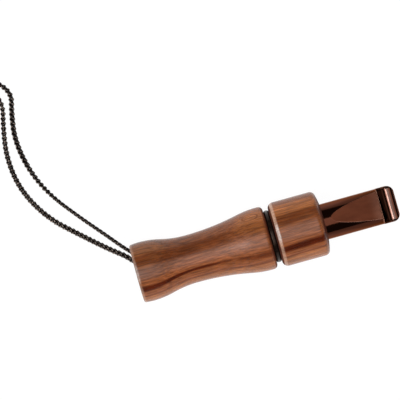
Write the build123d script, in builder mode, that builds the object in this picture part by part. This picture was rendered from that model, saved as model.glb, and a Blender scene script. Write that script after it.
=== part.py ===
"""Wooden bird call with a flared barrel, a reed collar, a flattened mouthpiece and a neck cord.

Lengths are millimetres. The call lies on its side on z = 0 with its axis along X,
the bell at the low end and the mouthpiece at the high end. Stations along the call
are measured from the bell's end face.
"""

import os
from math import acos, cos, pi, radians, sin, sqrt, tan

from build123d import *

# Fits, as gaps on the radius, and gaps at the ends of seated pieces
running_clearance = 0.05
seat_clearance = 0.02
socket_end_gap = 0.6
pin_end_gap = 0.6
stem_end_gap = 0.1
joint_ring_play = 0.1
groove_slack = 0.2

# Barrel
barrel_length = 53.2
flare_diameter = 23.3
flare_from_mouth = 3.9
rim_roll = 0.3
rim_wall = 1.15
rim_round = 0.8
lip_round = 0.3
waist_depth = 2.275
waist_from_mouth = 22.0
shoulder_step = 0.25
shoulder_land = 2.4
shoulder_round = 1.75
flare_bend_share = 0.45
shoulder_bend_share = 0.73
bell_depth = 13.0
bore_diameter = 12.0

# Collar and its tenon
collar_diameter = 25.3
collar_length = 19.55
collar_dome = 1.2
collar_dome_bulge = 0.1
collar_face_round = 2.2
collar_end_round = 2.0
tenon_diameter = 15.9
tenon_engagement = 11.3
tenon_bore_diameter = 10.4
chamber_diameter = 12.4

# Rubber rings
joint_ring_width = 2.0
joint_ring_height = 2.35
joint_ring_round = 0.8
tenon_ring_section = 1.6
tenon_ring_inset = 2.6
tenon_ring_spacing = 4.6
stem_ring_section = 1.4
stopper_ring_section = 1.2

# Mouthpiece
stem_diameter = 14.0
stem_projection = 28.75
stem_engagement = 9.0
facet_from_collar = 2.85
facet_angle = 7.7
facet_turn = -7.0
lip_length = 4.5
lip_nose = 1.6
lip_flare = 0.05
lip_rise = 1.25
lip_slope = 36.0
lip_crown = 3.8
lip_corner = 2.9
lip_edge_round = 1.2
groove_length = 2.15
groove_wall = 0.25
groove_depth = 1.15
slot_width = 8.0
slot_height = 2.4
slot_depth = 18.0
air_bore_diameter = 5.0

# Tone board, reed and wedge
stopper_inset = 0.3
stopper_length = 11.5
stopper_head = 4.2
board_to_stem = 1.25
channel_inset = 1.0
channel_width = 3.0
channel_depth = 2.4
channel_end_wall = 1.2
exit_bore_diameter = 2.8
facing_angle = 5.0
facing_lead = 0.3
reed_width = 6.0
reed_thickness = 0.25
reed_tip_setback = 0.3
reed_split = 0.06
wedge_inset = 0.1

# Cord, its pin, its knot and its coil
cord_diameter = 1.7
pin_diameter = 2.0
pin_from_mouth = 8.0
pin_recess = 0.4
pin_bite = 1.8
cord_to_pin = 0.2
knot_from_pin = 5.0
knot_diameter = 6.2
knot_length = 4.2
knot_round = 1.5
coil_outer_radius = 12.15
coil_turns = 10
coil_side_gap = 0.75
coil_layer_gap = 0.55
coil_layers = 4
coil_centre = (-58.1, 94.3)
coil_entry_angle = 44.4
coil_exit_angle = 273.6
tie_thickness = 0.6
tie_width = 3.0
tie_clearance = 0.3
tie_round = 1.0
tie_angle = 150.0

# Radii that follow from the sizes above
flare_radius = flare_diameter / 2
rim_radius = flare_radius - rim_roll
mouth_radius = rim_radius - rim_wall
waist_radius = flare_radius - waist_depth
collar_radius = collar_diameter / 2
shoulder_radius = collar_radius - shoulder_step
bore_radius = bore_diameter / 2
tenon_radius = tenon_diameter / 2
tenon_bore_radius = tenon_bore_diameter / 2
chamber_radius = chamber_diameter / 2
stem_radius = stem_diameter / 2
cord_radius = cord_diameter / 2
socket_radius = tenon_radius + running_clearance
stem_socket_radius = stem_radius + running_clearance
stopper_radius = tenon_bore_radius - seat_clearance

# Stations along the call
joint_gap = joint_ring_width + joint_ring_play
collar_left = barrel_length + joint_gap
collar_right = collar_left + collar_length
overall_length = collar_right + stem_projection
socket_start = barrel_length - tenon_engagement - socket_end_gap
tenon_left = barrel_length - tenon_engagement
stem_left = collar_right - stem_engagement
collar_shoulder = stem_left - stem_end_gap
mouth_x = -overall_length / 2
axis_height = max(collar_radius, flare_radius, shoulder_radius)

turning = Plane(origin=(mouth_x, 0, axis_height), x_dir=(1, 0, 0), z_dir=(0, -1, 0))
turning_axis = Axis((mouth_x, 0, axis_height), (1, 0, 0))

os.makedirs("parts", exist_ok=True)


def level_bend(start, end, share):
    """Draw two tangent arcs that are level at both ends and meet at a share of the chord."""
    middle = Vector(*start) + (Vector(*end) - Vector(*start)) * share
    first = TangentArc(start, middle, tangent=(1, 0))
    TangentArc(middle, end, tangent=first % 1)


def ring_groove(section):
    """Depth of the groove that a rubber ring of this section sits in."""
    return section - running_clearance / 2 + seat_clearance


def ring_middle(radius, section):
    """Radius of the middle of a ring that stands a little proud of this radius."""
    return radius + running_clearance / 2 - section / 2


def spot(station, y, z):
    """Point at a station along the call, y to its left and z above the table."""
    return (mouth_x + station, y, z)


def cross_plane(station, drop=0.0):
    """Plane square to the call's axis at a station, its middle a drop below the axis."""
    return Plane(origin=spot(station, 0, axis_height - drop), x_dir=(0, 1, 0), z_dir=(1, 0, 0))


def bend_radii(points):
    """Largest bend at each inner point that leaves a tenth of the shorter run straight."""
    radii = []
    for before, here, after in zip(points, points[1:], points[2:]):
        run_in = Vector(*here) - Vector(*before)
        run_out = Vector(*after) - Vector(*here)
        shorter = min(run_in.length, run_out.length)
        turn = acos(max(-1.0, min(1.0, run_in.normalized().dot(run_out.normalized()))))
        radii.append(0.45 * shorter / tan(turn / 2))
    return radii


def report_tube(label, part, path, radii):
    """Print the tightest bend of a tube and its volume against section times length."""
    section = pi * cord_diameter**2 / 4
    length = sum(edge.length for edge in path.edges())
    share = part.volume / (section * length)
    print(f"{label}: length {length:.1f}, tightest bend {min(radii):.2f}, volume share {share:.4f}")


# Barrel: one turned wall with the bell, the bore and the tenon socket
shoulder_start = barrel_length - shoulder_land
with BuildPart() as barrel:
    with BuildSketch(turning) as barrel_wall:
        with BuildLine():
            crest = (flare_from_mouth, flare_radius)
            waist = (waist_from_mouth, waist_radius)
            shoulder = (shoulder_start, shoulder_radius)
            Line((0, mouth_radius), (0, rim_radius))
            TangentArc(crest, (0, rim_radius), tangent=(-1, 0))
            level_bend(crest, waist, flare_bend_share)
            level_bend(waist, shoulder, shoulder_bend_share)
            Polyline(
                shoulder,
                (barrel_length, shoulder_radius),
                (barrel_length, socket_radius),
                (socket_start, socket_radius),
                (socket_start, bore_radius),
                (bell_depth, bore_radius),
            )
            TangentArc((bell_depth, bore_radius), (0, mouth_radius), tangent=(-1, 0))
        make_face()
        mouth_corners = barrel_wall.vertices().group_by(Axis.X)[0].sort_by(Axis.Y)
        fillet(mouth_corners[-1], min(rim_round, 0.7 * rim_wall))
        mouth_corners = barrel_wall.vertices().group_by(Axis.X)[0].sort_by(Axis.Y)
        fillet(mouth_corners[0], min(lip_round, 0.25 * rim_wall))
        joint_corners = barrel_wall.vertices().group_by(Axis.X)[-1].sort_by(Axis.Y)
        shoulder_wall = shoulder_radius - socket_radius
        fillet(joint_corners[-1], min(shoulder_round, 0.8 * shoulder_land, 0.6 * shoulder_wall))
    revolve(axis=turning_axis)
    bell_rise = mouth_radius - bore_radius
    bell_arc = (bell_rise**2 + bell_depth**2) / (2 * bell_rise)
    bell_run = max(0.0, bell_depth - pin_from_mouth)
    bore_at_pin = bore_radius + bell_arc - sqrt(bell_arc**2 - bell_run**2)
    pin_top = bore_at_pin + pin_bite
    with BuildSketch(Plane(origin=spot(pin_from_mouth, 0, axis_height + pin_top), z_dir=(0, 0, -1))):
        Circle(pin_diameter / 2 + seat_clearance)
    extrude(amount=pin_top + flare_diameter, mode=Mode.SUBTRACT)
barrel.part.label = "barrel"
export_step(barrel.part, "parts/barrel.step")

# Pin across the bell that holds the cord, let in from the underside
flare_run = waist_from_mouth - flare_from_mouth
flare_arc = flare_bend_share * (flare_run**2 + waist_depth**2) / (2 * waist_depth)
pin_off_crest = pin_from_mouth - flare_from_mouth
pin_bottom = flare_radius - flare_arc + sqrt(flare_arc**2 - pin_off_crest**2) - pin_recess
with BuildPart() as lanyard_pin:
    with BuildSketch(Plane(origin=spot(pin_from_mouth, 0, axis_height - pin_bottom))):
        Circle(pin_diameter / 2)
    extrude(amount=pin_bottom + pin_top - pin_end_gap)
lanyard_pin.part.label = "lanyard_pin"
export_step(lanyard_pin.part, "parts/lanyard_pin.step")

# Collar: turned body with a grooved tenon, a reed chamber and the stem's socket
tenon_groove_width = tenon_ring_section + groove_slack
first_ring = tenon_left + tenon_ring_inset
tenon_ring_stations = (first_ring, first_ring + tenon_ring_spacing)
with BuildPart() as collar:
    with BuildSketch(turning) as collar_wall:
        with BuildLine():
            dome_start = (collar_right - collar_dome, collar_radius)
            dome_end = (collar_right, stem_socket_radius)
            Polyline(
                (tenon_left, tenon_bore_radius),
                (tenon_left, tenon_radius),
                (collar_left, tenon_radius),
                (collar_left, collar_radius),
                dome_start,
            )
            SagittaArc(dome_start, dome_end, collar_dome_bulge)
            Polyline(
                dome_end,
                (collar_shoulder, stem_socket_radius),
                (collar_shoulder, chamber_radius),
                (collar_left, chamber_radius),
                (collar_left, tenon_bore_radius),
                (tenon_left, tenon_bore_radius),
            )
        make_face()
        outer_corners = collar_wall.vertices().group_by(Axis.Y)[-1].sort_by(Axis.X)
        fillet(outer_corners[0], min(collar_face_round, 0.6 * (collar_radius - tenon_radius)))
        outer_corners = collar_wall.vertices().group_by(Axis.Y)[-1].sort_by(Axis.X)
        fillet(outer_corners[-1], min(collar_end_round, 0.6 * (collar_radius - stem_socket_radius)))
        for station in tenon_ring_stations:
            with Locations((station, tenon_radius)):
                Rectangle(tenon_groove_width, 2 * ring_groove(tenon_ring_section), mode=Mode.SUBTRACT)
    revolve(axis=turning_axis)
collar.part.label = "collar"
export_step(collar.part, "parts/collar.step")

# Rubber ring that shows in the joint between barrel and collar
joint_ring_radius = tenon_radius + seat_clearance + joint_ring_height / 2
with BuildPart() as joint_ring:
    with BuildSketch(turning):
        with Locations((barrel_length + joint_gap / 2, joint_ring_radius)):
            RectangleRounded(
                joint_ring_width,
                joint_ring_height,
                min(joint_ring_round, 0.48 * joint_ring_width, 0.48 * joint_ring_height),
            )
    revolve(axis=turning_axis)
joint_ring.part.label = "joint_ring"
export_step(joint_ring.part, "parts/joint_ring.step")

# Two sealing rings in the tenon's grooves
tenon_ring_radius = ring_middle(tenon_radius, tenon_ring_section)
with BuildPart() as tenon_rings:
    with BuildSketch(turning):
        with Locations(*[(station, tenon_ring_radius) for station in tenon_ring_stations]):
            Circle(tenon_ring_section / 2)
    revolve(axis=turning_axis)
tenon_rings.part.label = "tenon_rings"
export_step(tenon_rings.part, "parts/tenon_rings.step")

# Tone board: a round stopper with a half-round board, a sound channel and a sloped facing
stopper_left = tenon_left + stopper_inset
stopper_right = stopper_left + stopper_length
board_right = collar_shoulder - board_to_stem
seat_left = stopper_left + stopper_head
stopper_ring_station = stopper_left + stopper_head / 2
channel_left = seat_left + channel_inset
channel_right = board_right - channel_end_wall
facing_left = stopper_right - facing_lead
with BuildPart() as tone_board:
    with BuildSketch(cross_plane(stopper_left)):
        Circle(stopper_radius)
    extrude(amount=board_right - stopper_left)
    with BuildSketch(turning):
        with Locations((seat_left, 0)):
            Rectangle(
                2 * (board_right - seat_left),
                2 * stopper_radius,
                align=(Align.MIN, Align.MIN),
            )
    extrude(amount=2 * stopper_radius, both=True, mode=Mode.SUBTRACT)
    with BuildSketch(turning):
        facing_run = 1.1 * (board_right - facing_left)
        with BuildLine():
            Polyline(
                (facing_left, 0),
                (facing_left + facing_run, 0),
                (facing_left + facing_run, -facing_run * tan(radians(facing_angle))),
                close=True,
            )
        make_face()
    extrude(amount=2 * stopper_radius, both=True, mode=Mode.SUBTRACT)
    with BuildSketch(turning):
        with Locations((channel_left, 0)):
            Rectangle(channel_right - channel_left, 2 * channel_depth, align=(Align.MIN, Align.CENTER))
    extrude(amount=channel_width / 2, both=True, mode=Mode.SUBTRACT)
    exit_drop = channel_depth - exit_bore_diameter / 2
    with BuildSketch(cross_plane(stopper_left, exit_drop)):
        Circle(exit_bore_diameter / 2)
    extrude(amount=channel_left + exit_bore_diameter / 2 - stopper_left, mode=Mode.SUBTRACT)
    with BuildSketch(turning):
        with Locations((stopper_ring_station, stopper_radius)):
            Rectangle(stopper_ring_section + groove_slack, 2 * stopper_ring_section)
    revolve(axis=turning_axis, mode=Mode.SUBTRACT)
tone_board.part.label = "tone_board"
export_step(tone_board.part, "parts/tone_board.step")

# Ring that seals the stopper in the tenon's bore
stopper_ring_outer = tenon_bore_radius - seat_clearance / 2
with BuildPart() as stopper_ring:
    with BuildSketch(turning):
        with Locations((stopper_ring_station, stopper_ring_outer - stopper_ring_section / 2)):
            Circle(stopper_ring_section / 2)
    revolve(axis=turning_axis)
stopper_ring.part.label = "stopper_ring"
export_step(stopper_ring.part, "parts/stopper_ring.step")

# Reed: clamped root and free tongue, split at the wedge's edge
tongue_right = board_right - reed_tip_setback
with BuildPart() as reed_root:
    with BuildSketch(turning):
        with Locations((seat_left + wedge_inset, 0)):
            Rectangle(
                stopper_right - reed_split / 2 - seat_left - wedge_inset,
                reed_thickness,
                align=(Align.MIN, Align.MIN),
            )
    extrude(amount=reed_width / 2, both=True)
reed_root.part.label = "reed_root"
export_step(reed_root.part, "parts/reed_root.step")

with BuildPart() as reed_tongue:
    with BuildSketch(Plane(origin=spot(0, 0, axis_height))):
        with Locations((stopper_right + reed_split / 2, 0)):
            Rectangle(
                tongue_right - stopper_right - reed_split / 2,
                reed_width,
                align=(Align.MIN, Align.CENTER),
            )
    extrude(amount=reed_thickness)
    tip_corners = reed_tongue.edges().filter_by(Axis.Z).group_by(Axis.X)[-1]
    fillet(tip_corners, reed_width / 4)
reed_tongue.part.label = "reed_tongue"
export_step(reed_tongue.part, "parts/reed_tongue.step")

# Cork wedge that clamps the reed's root against the tone board
with BuildPart() as reed_wedge:
    with BuildSketch(cross_plane(seat_left + wedge_inset)):
        Circle(stopper_radius)
        with Locations((0, reed_thickness)):
            Rectangle(
                2 * stopper_radius,
                stopper_radius,
                align=(Align.CENTER, Align.MIN),
                mode=Mode.INTERSECT,
            )
    extrude(amount=stopper_right - reed_split / 2 - seat_left - wedge_inset)
reed_wedge.part.label = "reed_wedge"
export_step(reed_wedge.part, "parts/reed_wedge.step")

# Mouthpiece: turned stem planed to two slopes, with a groove and a rounded lip at the tip
facet_slope = tan(radians(facet_angle))
facet_start = collar_right + facet_from_collar
lip_start = overall_length - lip_length
groove_start = lip_start - groove_length
groove_bottom = groove_start + min(groove_wall, 0.5 * groove_length)
facet_low = stem_radius - facet_slope * (groove_start - facet_start)
lip_crest = facet_low + lip_rise
crest_station = overall_length - lip_nose
lip_slant = radians(lip_slope)
knee_station = groove_bottom + (lip_rise + groove_depth) / tan(lip_slant)
crown_reach = min(lip_crown * tan(lip_slant / 2), 0.9 * (crest_station - knee_station))
lip_width = stem_diameter + 2 * lip_flare
stem_ring_station = stem_left + stem_engagement / 2
with BuildPart() as mouthpiece:
    with BuildSketch(turning):
        with BuildLine():
            over = 1.0
            Polyline(
                (stem_left, 0),
                (stem_left, stem_radius + over),
                (facet_start, stem_radius + over),
                (groove_start, facet_low + over),
            )
            groove_floor = (groove_bottom, facet_low - groove_depth)
            crown_start = (
                knee_station - crown_reach * cos(lip_slant),
                lip_crest - crown_reach * sin(lip_slant),
            )
            crown_end = (knee_station + crown_reach, lip_crest)
            crest_point = (crest_station, lip_crest)
            tip_point = (overall_length, lip_crest - lip_nose)
            Polyline((groove_start, facet_low + over), groove_floor, crown_start)
            TangentArc(crown_start, crown_end, tangent=(cos(lip_slant), sin(lip_slant)))
            Line(crown_end, crest_point)
            TangentArc(crest_point, tip_point, tangent=(1, 0))
            Polyline(tip_point, (overall_length, 0), (stem_left, 0))
        make_face()
        mirror(about=Plane.XZ)
    extrude(amount=lip_width / 2, both=True)
    lip_zone = mouthpiece.edges().filter_by_position(
        Axis.X, mouth_x + groove_bottom, mouth_x + overall_length
    )
    lip_edges = [
        edge
        for edge in lip_zone
        if abs(edge.center().Y) > 0.4 * lip_width
        and abs(edge.center().Z - axis_height) > slot_height / 2
    ]
    fillet(lip_edges, min(lip_edge_round, 0.6 * lip_corner))
    with BuildSketch(Plane(origin=spot(0, 0, axis_height))):
        with Locations((overall_length, 0)):
            RectangleRounded(
                2 * (overall_length - stem_left),
                lip_width,
                lip_corner,
                align=(Align.MAX, Align.CENTER),
            )
    extrude(amount=stem_diameter, both=True, mode=Mode.INTERSECT)
    with BuildSketch(turning):
        with BuildLine():
            Polyline(
                (stem_left, 0),
                (stem_left, stem_radius),
                (groove_start, stem_radius),
                (lip_start, stem_radius + groove_length),
                (overall_length + 1, stem_radius + groove_length),
                (overall_length + 1, 0),
                close=True,
            )
        make_face()
    revolve(axis=turning_axis, mode=Mode.INTERSECT)
    with BuildSketch(turning.rotated((facet_turn, 0, 0))):
        with BuildLine():
            Polyline(
                (facet_start - over / facet_slope, stem_radius + over),
                (groove_bottom, facet_low - facet_slope * (groove_bottom - groove_start)),
                (groove_bottom, stem_radius + over),
                close=True,
            )
        make_face()
        mirror(about=Plane.XZ)
    extrude(amount=stem_diameter, both=True, mode=Mode.SUBTRACT)
    with BuildSketch(cross_plane(overall_length)):
        SlotOverall(slot_width, slot_height)
    with BuildSketch(cross_plane(overall_length - slot_depth)):
        Circle(air_bore_diameter / 2)
    loft(mode=Mode.SUBTRACT)
    with BuildSketch(cross_plane(stem_left)):
        Circle(air_bore_diameter / 2)
    extrude(amount=overall_length - slot_depth - stem_left, mode=Mode.SUBTRACT)
    with BuildSketch(turning):
        with Locations((stem_ring_station, stem_radius)):
            Rectangle(stem_ring_section + groove_slack, 2 * ring_groove(stem_ring_section))
    revolve(axis=turning_axis, mode=Mode.SUBTRACT)
mouthpiece.part.label = "mouthpiece"
export_step(mouthpiece.part, "parts/mouthpiece.step")

# Ring that holds the stem in the collar
with BuildPart() as stem_ring:
    with BuildSketch(turning):
        with Locations((stem_ring_station, ring_middle(stem_radius, stem_ring_section))):
            Circle(stem_ring_section / 2)
    revolve(axis=turning_axis)
stem_ring.part.label = "stem_ring"
export_step(stem_ring.part, "parts/stem_ring.step")

# Knot behind the pin, with a flat face that the cord's two ends meet
knot_front = pin_from_mouth + knot_from_pin
with BuildPart() as lanyard_knot:
    with BuildSketch(cross_plane(knot_front)):
        Circle(knot_diameter / 2)
    extrude(amount=knot_length)
    fillet(lanyard_knot.edges().group_by(Axis.X)[-1], knot_round)
lanyard_knot.part.label = "lanyard_knot"
export_step(lanyard_knot.part, "parts/lanyard_knot.step")

# Coil: one tube that spirals in and out in layers, from the top layer down
coil_base = tie_thickness + tie_clearance + cord_radius
coil_layer_pitch = cord_diameter + coil_layer_gap
coil_top = coil_base + (coil_layers - 1) * coil_layer_pitch
total_turns = coil_turns + ((coil_exit_angle - coil_entry_angle) % 360) / 360
layer_turns = (total_turns - (coil_layers - 1) * 0.5) / coil_layers
coil_inner_radius = coil_outer_radius - layer_turns * (cord_diameter + coil_side_gap)


def coil_state(turn):
    """Radius and height of the coil after a number of turns."""
    cycle = layer_turns + 0.5
    layer = min(int(turn / cycle), coil_layers - 1)
    within = turn - layer * cycle
    wound = min(within / layer_turns, 1.0)
    if layer % 2 == 0:
        radius = coil_outer_radius + (coil_inner_radius - coil_outer_radius) * wound
    else:
        radius = coil_inner_radius + (coil_outer_radius - coil_inner_radius) * wound
    climb = max(0.0, (within - layer_turns) / 0.5) if layer < coil_layers - 1 else 0.0
    eased = climb * climb * (3 - 2 * climb)
    return radius, coil_top - (layer + eased) * coil_layer_pitch


def coil_point(turn):
    """Point on the coil's centre line after a number of turns."""
    radius, height = coil_state(turn)
    angle = radians(coil_entry_angle) + 2 * pi * turn
    return Vector(
        mouth_x + coil_centre[0] + radius * cos(angle),
        coil_centre[1] + radius * sin(angle),
        height,
    )


def coil_heading(turn):
    """Unit direction of the coil's centre line, level at both ends."""
    step = 0.02
    if turn < step or turn > total_turns - step:
        angle = radians(coil_entry_angle) + 2 * pi * turn
        return Vector(-sin(angle), cos(angle), 0)
    return (coil_point(turn + step) - coil_point(turn - step)).normalized()


def biarc(start, start_heading, end, end_heading):
    """Draw two arcs between two points that keep the headings at both ends."""
    span = end - start
    both = start_heading + end_heading
    bend = 2 * (1 - start_heading.dot(end_heading))
    across = span.dot(both)
    reach = (sqrt(across**2 + bend * span.dot(span)) - across) / bend
    first_corner = start + start_heading * reach
    second_corner = end - end_heading * reach
    middle = (first_corner + second_corner) * 0.5
    TangentArc(start, middle, tangent=start_heading)
    TangentArc(middle, end, tangent=(second_corner - first_corner).normalized())


coil_steps = round(total_turns * 4)
coil_stops = [total_turns * step / coil_steps for step in range(coil_steps + 1)]
coil_start = coil_point(0) - coil_heading(0) * cord_diameter
coil_end = coil_point(total_turns) + coil_heading(total_turns) * cord_diameter
with BuildPart() as lanyard_coil:
    with BuildLine() as coil_path:
        Line(coil_start, coil_point(0))
        for here, there in zip(coil_stops, coil_stops[1:]):
            biarc(coil_point(here), coil_heading(here), coil_point(there), coil_heading(there))
        Line(coil_point(total_turns), coil_end)
    with BuildSketch(Plane(origin=coil_start, z_dir=coil_heading(0))):
        Circle(cord_radius)
    sweep()
lanyard_coil.part.label = "lanyard_coil"
export_step(lanyard_coil.part, "parts/lanyard_coil.step")
report_tube("lanyard_coil", lanyard_coil.part, coil_path, [coil_inner_radius])
coil_samples = [coil_point(total_turns * i / 1600) for i in range(1601)]
coil_gap = min(
    (a - b).length
    for i, a in enumerate(coil_samples)
    for b in coil_samples[i + 90 :: 2]
)
print(f"lanyard_coil: least gap to itself {coil_gap - cord_diameter:.2f}")

# Tie round the coil's bundle
bundle_inner = coil_inner_radius - cord_radius - tie_clearance
bundle_outer = coil_outer_radius + cord_radius + tie_clearance
tie_out = Vector(cos(radians(tie_angle)), sin(radians(tie_angle)), 0)
tie_middle = Vector(mouth_x + coil_centre[0], coil_centre[1], (coil_base + coil_top) / 2)
tie_middle = tie_middle + tie_out * ((bundle_inner + bundle_outer) / 2)
tie_wide = bundle_outer - bundle_inner
tie_high = coil_top - coil_base + cord_diameter + 2 * tie_clearance
with BuildPart() as lanyard_tie:
    tie_along = Vector(0, 0, 1).cross(tie_out)
    with BuildSketch(Plane(origin=tie_middle, x_dir=tie_out, z_dir=tie_along)):
        RectangleRounded(
            tie_wide + 2 * tie_thickness,
            tie_high + 2 * tie_thickness,
            tie_round + tie_thickness,
        )
        RectangleRounded(tie_wide, tie_high, tie_round, mode=Mode.SUBTRACT)
    extrude(amount=tie_width / 2, both=True)
lanyard_tie.part.label = "lanyard_tie"
export_step(lanyard_tie.part, "parts/lanyard_tie.step")

# Cord legs from the knot, past the pin and out of the bell to the coil
beside_pin = pin_diameter / 2 + cord_radius + cord_to_pin
floor = cord_radius
inner_points = [
    spot(knot_front, beside_pin, axis_height),
    spot(pin_from_mouth - 1.4, beside_pin, axis_height),
    spot(-1.8, 10.7, axis_height - 0.2),
    spot(-7.7, 17.9, 10.0),
    spot(-15.3, 26.7, 4.8),
    spot(-24.6, 38.5, 1.5),
    spot(-29.7, 49.8, floor),
    spot(-31.9, 62.5, floor),
    spot(-30.3, 72.9, floor),
    spot(-28.0, 81.2, floor + 0.3),
    spot(-35.3, 88.2, 4.2),
    tuple(coil_start - coil_heading(0) * 9.0),
    tuple(coil_start),
]
outer_points = [
    spot(knot_front, -beside_pin, axis_height),
    spot(pin_from_mouth - 2.4, -beside_pin, axis_height),
    spot(-0.6, 6.6, axis_height - 0.2),
    spot(-7.6, 11.9, 10.2),
    spot(-16.9, 20.1, 5.0),
    spot(-27.7, 30.0, 1.5),
    spot(-35.0, 43.2, floor),
    spot(-36.8, 56.5, floor),
    spot(-35.0, 68.0, floor),
    spot(-32.3, 78.2, floor),
    spot(-36.8, 83.5, floor + 0.5),
    tuple(coil_end + coil_heading(total_turns) * 9.0),
    tuple(coil_end),
]
inner_radii = bend_radii(inner_points)
outer_radii = bend_radii(outer_points)
with BuildPart() as lanyard_inner_leg:
    with BuildLine() as inner_path:
        FilletPolyline(*inner_points, radius=inner_radii)
    with BuildSketch(Plane(origin=inner_path.line @ 0, z_dir=inner_path.line % 0)):
        Circle(cord_radius)
    sweep()
lanyard_inner_leg.part.label = "lanyard_inner_leg"
export_step(lanyard_inner_leg.part, "parts/lanyard_inner_leg.step")
report_tube("lanyard_inner_leg", lanyard_inner_leg.part, inner_path, inner_radii)

with BuildPart() as lanyard_outer_leg:
    with BuildLine() as outer_path:
        FilletPolyline(*outer_points, radius=outer_radii)
    with BuildSketch(Plane(origin=outer_path.line @ 0, z_dir=outer_path.line % 0)):
        Circle(cord_radius)
    sweep()
lanyard_outer_leg.part.label = "lanyard_outer_leg"
export_step(lanyard_outer_leg.part, "parts/lanyard_outer_leg.step")
report_tube("lanyard_outer_leg", lanyard_outer_leg.part, outer_path, outer_radii)
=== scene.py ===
"""Bird call dressed for its portrait: turned wood, rubber rings, reed, mouthpiece and neck cord.

Sizes in the classes are millimetres, apart from the soft boxes', which are metres.
Stations run along the call from the bell's end face, and heights are measured from
the floor that the call lies on.
"""

from __future__ import annotations

import logging
import math
from collections.abc import Sequence
from dataclasses import dataclass, field
from enum import Enum
from functools import reduce
from typing import Protocol

import bpy
import numpy as np
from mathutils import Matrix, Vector

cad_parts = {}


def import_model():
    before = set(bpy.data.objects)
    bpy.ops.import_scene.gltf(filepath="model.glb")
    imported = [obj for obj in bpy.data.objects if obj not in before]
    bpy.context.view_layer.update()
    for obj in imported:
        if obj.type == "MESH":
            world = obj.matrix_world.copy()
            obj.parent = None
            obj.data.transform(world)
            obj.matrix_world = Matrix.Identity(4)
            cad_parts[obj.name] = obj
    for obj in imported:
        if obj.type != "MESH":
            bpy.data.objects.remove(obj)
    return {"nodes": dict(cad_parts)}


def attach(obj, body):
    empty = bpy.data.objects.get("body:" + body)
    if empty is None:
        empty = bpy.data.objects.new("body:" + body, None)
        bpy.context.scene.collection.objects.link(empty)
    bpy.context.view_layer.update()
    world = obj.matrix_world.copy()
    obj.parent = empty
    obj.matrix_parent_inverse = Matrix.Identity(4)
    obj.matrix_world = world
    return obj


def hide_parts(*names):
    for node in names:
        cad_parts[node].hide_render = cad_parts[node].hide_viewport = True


log = logging.getLogger("bird_call")

MM = 0.001
BELL_X = -51.8
AXIS_HEIGHT = 12.65

Span = tuple[float, float]
Triple = tuple[float, float, float]
Colour = tuple[float, float, float]
Easing = tuple[float, float, float, float]
Socket = bpy.types.NodeSocket
Feed = Socket | float | Triple
Nodes = dict[str, bpy.types.Object]


class Slot(Enum):
    """Material slots of the part's record, listed beside the new pieces, which don't read them."""

    CORD = "cord"
    TIE = "tie"


class Turn(Enum):
    """Way that a strand winds round the cord it belongs to."""

    LEFT = -1.0
    RIGHT = 1.0


def place(station: float, across: float, height: float) -> Vector:
    """Turn a place measured on the call, in millimetres, into a point of the frame, in metres."""
    return Vector((station + BELL_X, across, height)) * MM


@dataclass(frozen=True)
class Grain:
    """Fineness of a cloudy noise: clouds to a millimetre each way, finer layers and their strength."""

    clouds: Triple
    layers: float = 2.0
    strength: float = 0.5


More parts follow.
